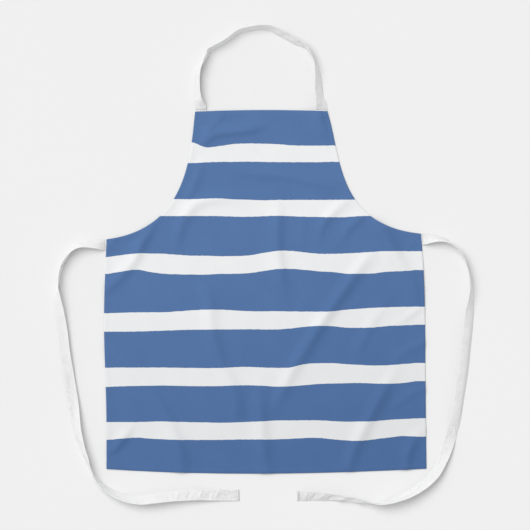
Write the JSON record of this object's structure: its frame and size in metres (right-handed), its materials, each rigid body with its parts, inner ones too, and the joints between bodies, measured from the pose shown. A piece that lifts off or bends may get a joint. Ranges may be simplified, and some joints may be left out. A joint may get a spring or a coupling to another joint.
{
  "type": "butcher apron",
  "caption": "Bib apron in blue and white horizontal butcher's stripes, with a fixed white tape neck strap and long white tape waist ties, laid out flat with its front up.",
  "frame": {"origin": "on the surface that the apron lies on, under the middle of the outline box of the panel", "axes": "+Z comes out of the apron's front, +Y runs from the bottom hem up to the neck strap, and +X is to the viewer's right when the front is looked at"},
  "size_m": [0.8981, 1.0263, 0.0301],
  "materials": {
    "printed_cloth": "blue and white striped cotton twill, matt, with the stripes showing more faintly on its back",
    "white_tape": "bleached woven cotton tape, matt with a faint sheen",
    "thread": "spun polyester sewing thread"
  },
  "bodies": {
    "apron": {"front_panel": "printed_cloth", "top_hem": "printed_cloth", "top_hem_stitching": "thread", "right_armhole_hem": "printed_cloth", "right_armhole_hem_stitching": "thread", "right_side_hem": "printed_cloth", "right_side_hem_stitching": "thread", "bottom_hem": "printed_cloth", "bottom_hem_stitching": "thread", "left_side_hem": "printed_cloth", "left_side_hem_stitching": "thread", "left_armhole_hem": "printed_cloth", "left_armhole_hem_stitching": "thread", "neck_strap_left_sewn_end": "white_tape", "neck_strap_left_tack": "thread", "neck_strap_right_sewn_end": "white_tape", "neck_strap_right_tack": "thread", "left_tie_sewn_end": "white_tape", "left_tie_tack": "thread", "right_tie_sewn_end": "white_tape", "right_tie_tack": "thread"},
    "neck_loop": {"neck_strap": "white_tape"},
    "left_waist_tie": {"left_tie": "white_tape", "left_tie_end_hem": "white_tape", "left_tie_end_stitching": "thread"},
    "right_waist_tie": {"right_tie": "white_tape", "right_tie_end_hem": "white_tape", "right_tie_end_stitching": "thread"}
  },
  "joints": [
    {"name": "neck_loop_fold", "type": "hinge", "parent": "apron", "child": "neck_loop", "pos_m": [-0.009, 0.3892, 0.0022], "axis": [1, 0, 0], "range_deg": [0, 135]},
    {"name": "left_tie_swing", "type": "hinge", "parent": "apron", "child": "left_waist_tie", "pos_m": [-0.3545, 0.101, 0.0005], "axis": [0, 0, -1], "range_deg": [0, 60]},
    {"name": "right_tie_swing", "type": "hinge", "parent": "apron", "child": "right_waist_tie", "pos_m": [0.3485, 0.1125, 0.0005], "axis": [0, 0, 1], "range_deg": [0, 60]}
  ]
}
